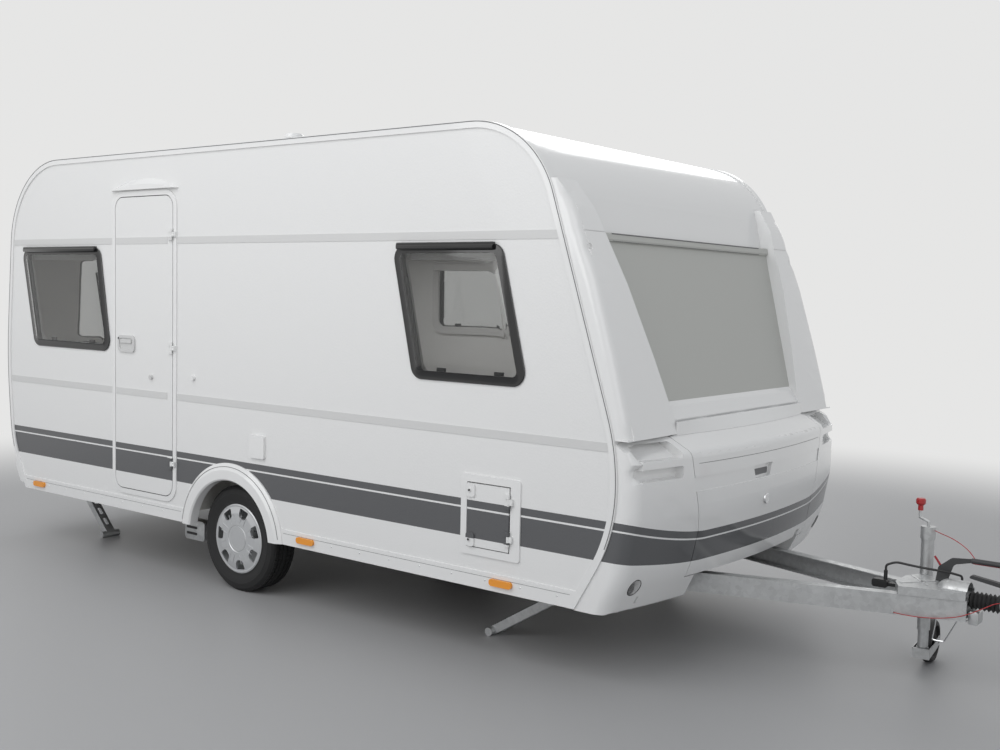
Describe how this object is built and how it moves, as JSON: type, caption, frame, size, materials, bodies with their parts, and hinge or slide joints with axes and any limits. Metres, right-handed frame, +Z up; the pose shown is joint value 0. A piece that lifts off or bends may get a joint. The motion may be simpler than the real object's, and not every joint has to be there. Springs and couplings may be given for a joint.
{
  "type": "travel caravan",
  "caption": "Single-axle travel caravan with hollow body, entrance door, gas locker lid, service flap, A-frame drawbar, overrun hitch, nose wheel and corner steadies.",
  "frame": {"origin": "on the floor, below the middle of the whole length and width", "axes": "+X forward to the tow hitch, +Y to the left side, +Z up"},
  "size_m": [6.573, 2.36, 2.636],
  "materials": {
    "wall_skin": "hammered white aluminium skin with grey stripe",
    "white_moulding": "smooth gloss",
    "panel_grey": "satin grey panel",
    "white_frame": "painted aluminium",
    "smoked_acrylic": "smoked, polished",
    "black_rubber": "matt",
    "dark_plastic": "grained",
    "amber_lens": "amber lens",
    "red_lens": "red lens",
    "clear_lens": "clear lens",
    "galvanised": "hot-dip galvanised",
    "floor_board": "sealed board",
    "tyre_rubber": "road tyre",
    "wheel_steel": "silver steel",
    "jockey_rubber": "solid rubber tyre",
    "silver_plastic": "silver",
    "red_plastic": "dark red",
    "lead_black": "sheathed lead",
    "cable_red": "coated cable"
  },
  "bodies": {
    "caravan": {"axle": "galvanised", "bellows": "black_rubber", "belt_strips": "white_frame", "breakaway_cable": "cable_red", "chassis": "galvanised", "coupling_handle": "dark_plastic", "coupling_head": "galvanised", "door_canopy": "white_moulding", "door_frame": "white_frame", "drawbar_beams": "galvanised", "drawbar_cover": "galvanised", "edge_rails": "white_moulding", "flap_frame": "white_moulding", "floor": "floor_board", "front_lamps": "clear_lens", "front_panel": "panel_grey", "front_wall": "white_moulding", "handbrake_lever": "dark_plastic", "inner_boxes": "floor_board", "jockey_crank": "galvanised", "jockey_knob": "red_plastic", "jockey_outer_tube": "galvanised", "lead": "lead_black", "lead_plug": "dark_plastic", "marker_lamps": "amber_lens", "nose_apron": "white_moulding", "nose_corners": "white_moulding", "nose_pillars": "white_moulding", "overrun_housing": "galvanised", "rear_bumper": "white_moulding", "rear_lamps": "red_lens", "rear_wall": "white_moulding", "roof": "white_moulding", "roof_hatches": "white_moulding", "side_wall_left": "wall_skin", "side_wall_right": "wall_skin", "sills": "white_frame", "steady_brackets": "galvanised", "wall_fittings": "white_moulding", "wheel_arches": "white_moulding", "window_linings": "black_rubber", "windows": "smoked_acrylic"},
    "door": {"door_leaf": "white_moulding", "door_handle": "dark_plastic"},
    "locker_lid": {"locker_lid": "white_moulding"},
    "service_flap": {"service_flap": "white_moulding"},
    "wheel_right": {"tyre_right": "tyre_rubber", "wheel_rim_right": "wheel_steel", "hub_cap_right": "silver_plastic"},
    "wheel_left": {"tyre_left": "tyre_rubber", "wheel_rim_left": "wheel_steel", "hub_cap_left": "silver_plastic"},
    "steady_rear_right": {"steady_leg_rear_right": "galvanised"},
    "steady_rear_left": {"steady_leg_rear_left": "galvanised"},
    "steady_front_right": {"steady_leg_front_right": "galvanised"},
    "steady_front_left": {"steady_leg_front_left": "galvanised"},
    "jockey_stem": {"jockey_inner_tube": "galvanised"},
    "jockey_fork": {"jockey_fork": "galvanised"},
    "jockey_wheel": {"jockey_wheel": "jockey_rubber"}
  },
  "joints": [
    {"name": "wheel_right_spin", "type": "hinge", "parent": "caravan", "child": "wheel_right", "pos_m": [-0.87353, -1.007, 0.311], "axis": [0, 1, 0], "continuous": true},
    {"name": "wheel_left_spin", "type": "hinge", "parent": "caravan", "child": "wheel_left", "pos_m": [-0.87353, 1.007, 0.311], "axis": [0, 1, 0], "continuous": true},
    {"name": "door_swing", "type": "hinge", "parent": "caravan", "child": "door", "pos_m": [-1.41053, -1.168, 1.405], "axis": [0, 0, 1], "range_deg": [0, 172]},
    {"name": "locker_lid_swing", "type": "hinge", "parent": "caravan", "child": "locker_lid", "pos_m": [1.76047, 0, 1.188], "axis": [0, -1, 0], "range_deg": [0, 75]},
    {"name": "service_flap_swing", "type": "hinge", "parent": "caravan", "child": "service_flap", "pos_m": [1.14747, -1.17, 0.709], "axis": [0, 0, 1], "range_deg": [0, 170]},
    {"name": "steady_rear_right_swing", "type": "hinge", "parent": "caravan", "child": "steady_rear_right", "pos_m": [-2.95353, -0.742, 0.29], "axis": [0, -1, 0], "range_deg": [0, 43]},
    {"name": "steady_rear_left_swing", "type": "hinge", "parent": "caravan", "child": "steady_rear_left", "pos_m": [-2.95353, 0.742, 0.29], "axis": [0, -1, 0], "range_deg": [0, 43]},
    {"name": "steady_front_right_swing", "type": "hinge", "parent": "caravan", "child": "steady_front_right", "pos_m": [1.20347, -0.742, 0.29], "axis": [0, 1, 0], "range_deg": [0, 30]},
    {"name": "steady_front_left_swing", "type": "hinge", "parent": "caravan", "child": "steady_front_left", "pos_m": [1.20347, 0.742, 0.29], "axis": [0, 1, 0], "range_deg": [0, 30]},
    {"name": "jockey_slide", "type": "slide", "parent": "caravan", "child": "jockey_stem", "axis": [0, 0, 1], "range_m": [-0.08, 0.08]},
    {"name": "jockey_castor", "type": "hinge", "parent": "jockey_stem", "child": "jockey_fork", "pos_m": [2.66647, 0.185, 0.107], "axis": [0, 0, 1], "continuous": true},
    {"name": "jockey_wheel_spin", "type": "hinge", "parent": "jockey_fork", "child": "jockey_wheel", "pos_m": [2.65903, 0.32681, 0.106], "axis": [-0.9986, -0.052, 0], "continuous": true}
  ]
}
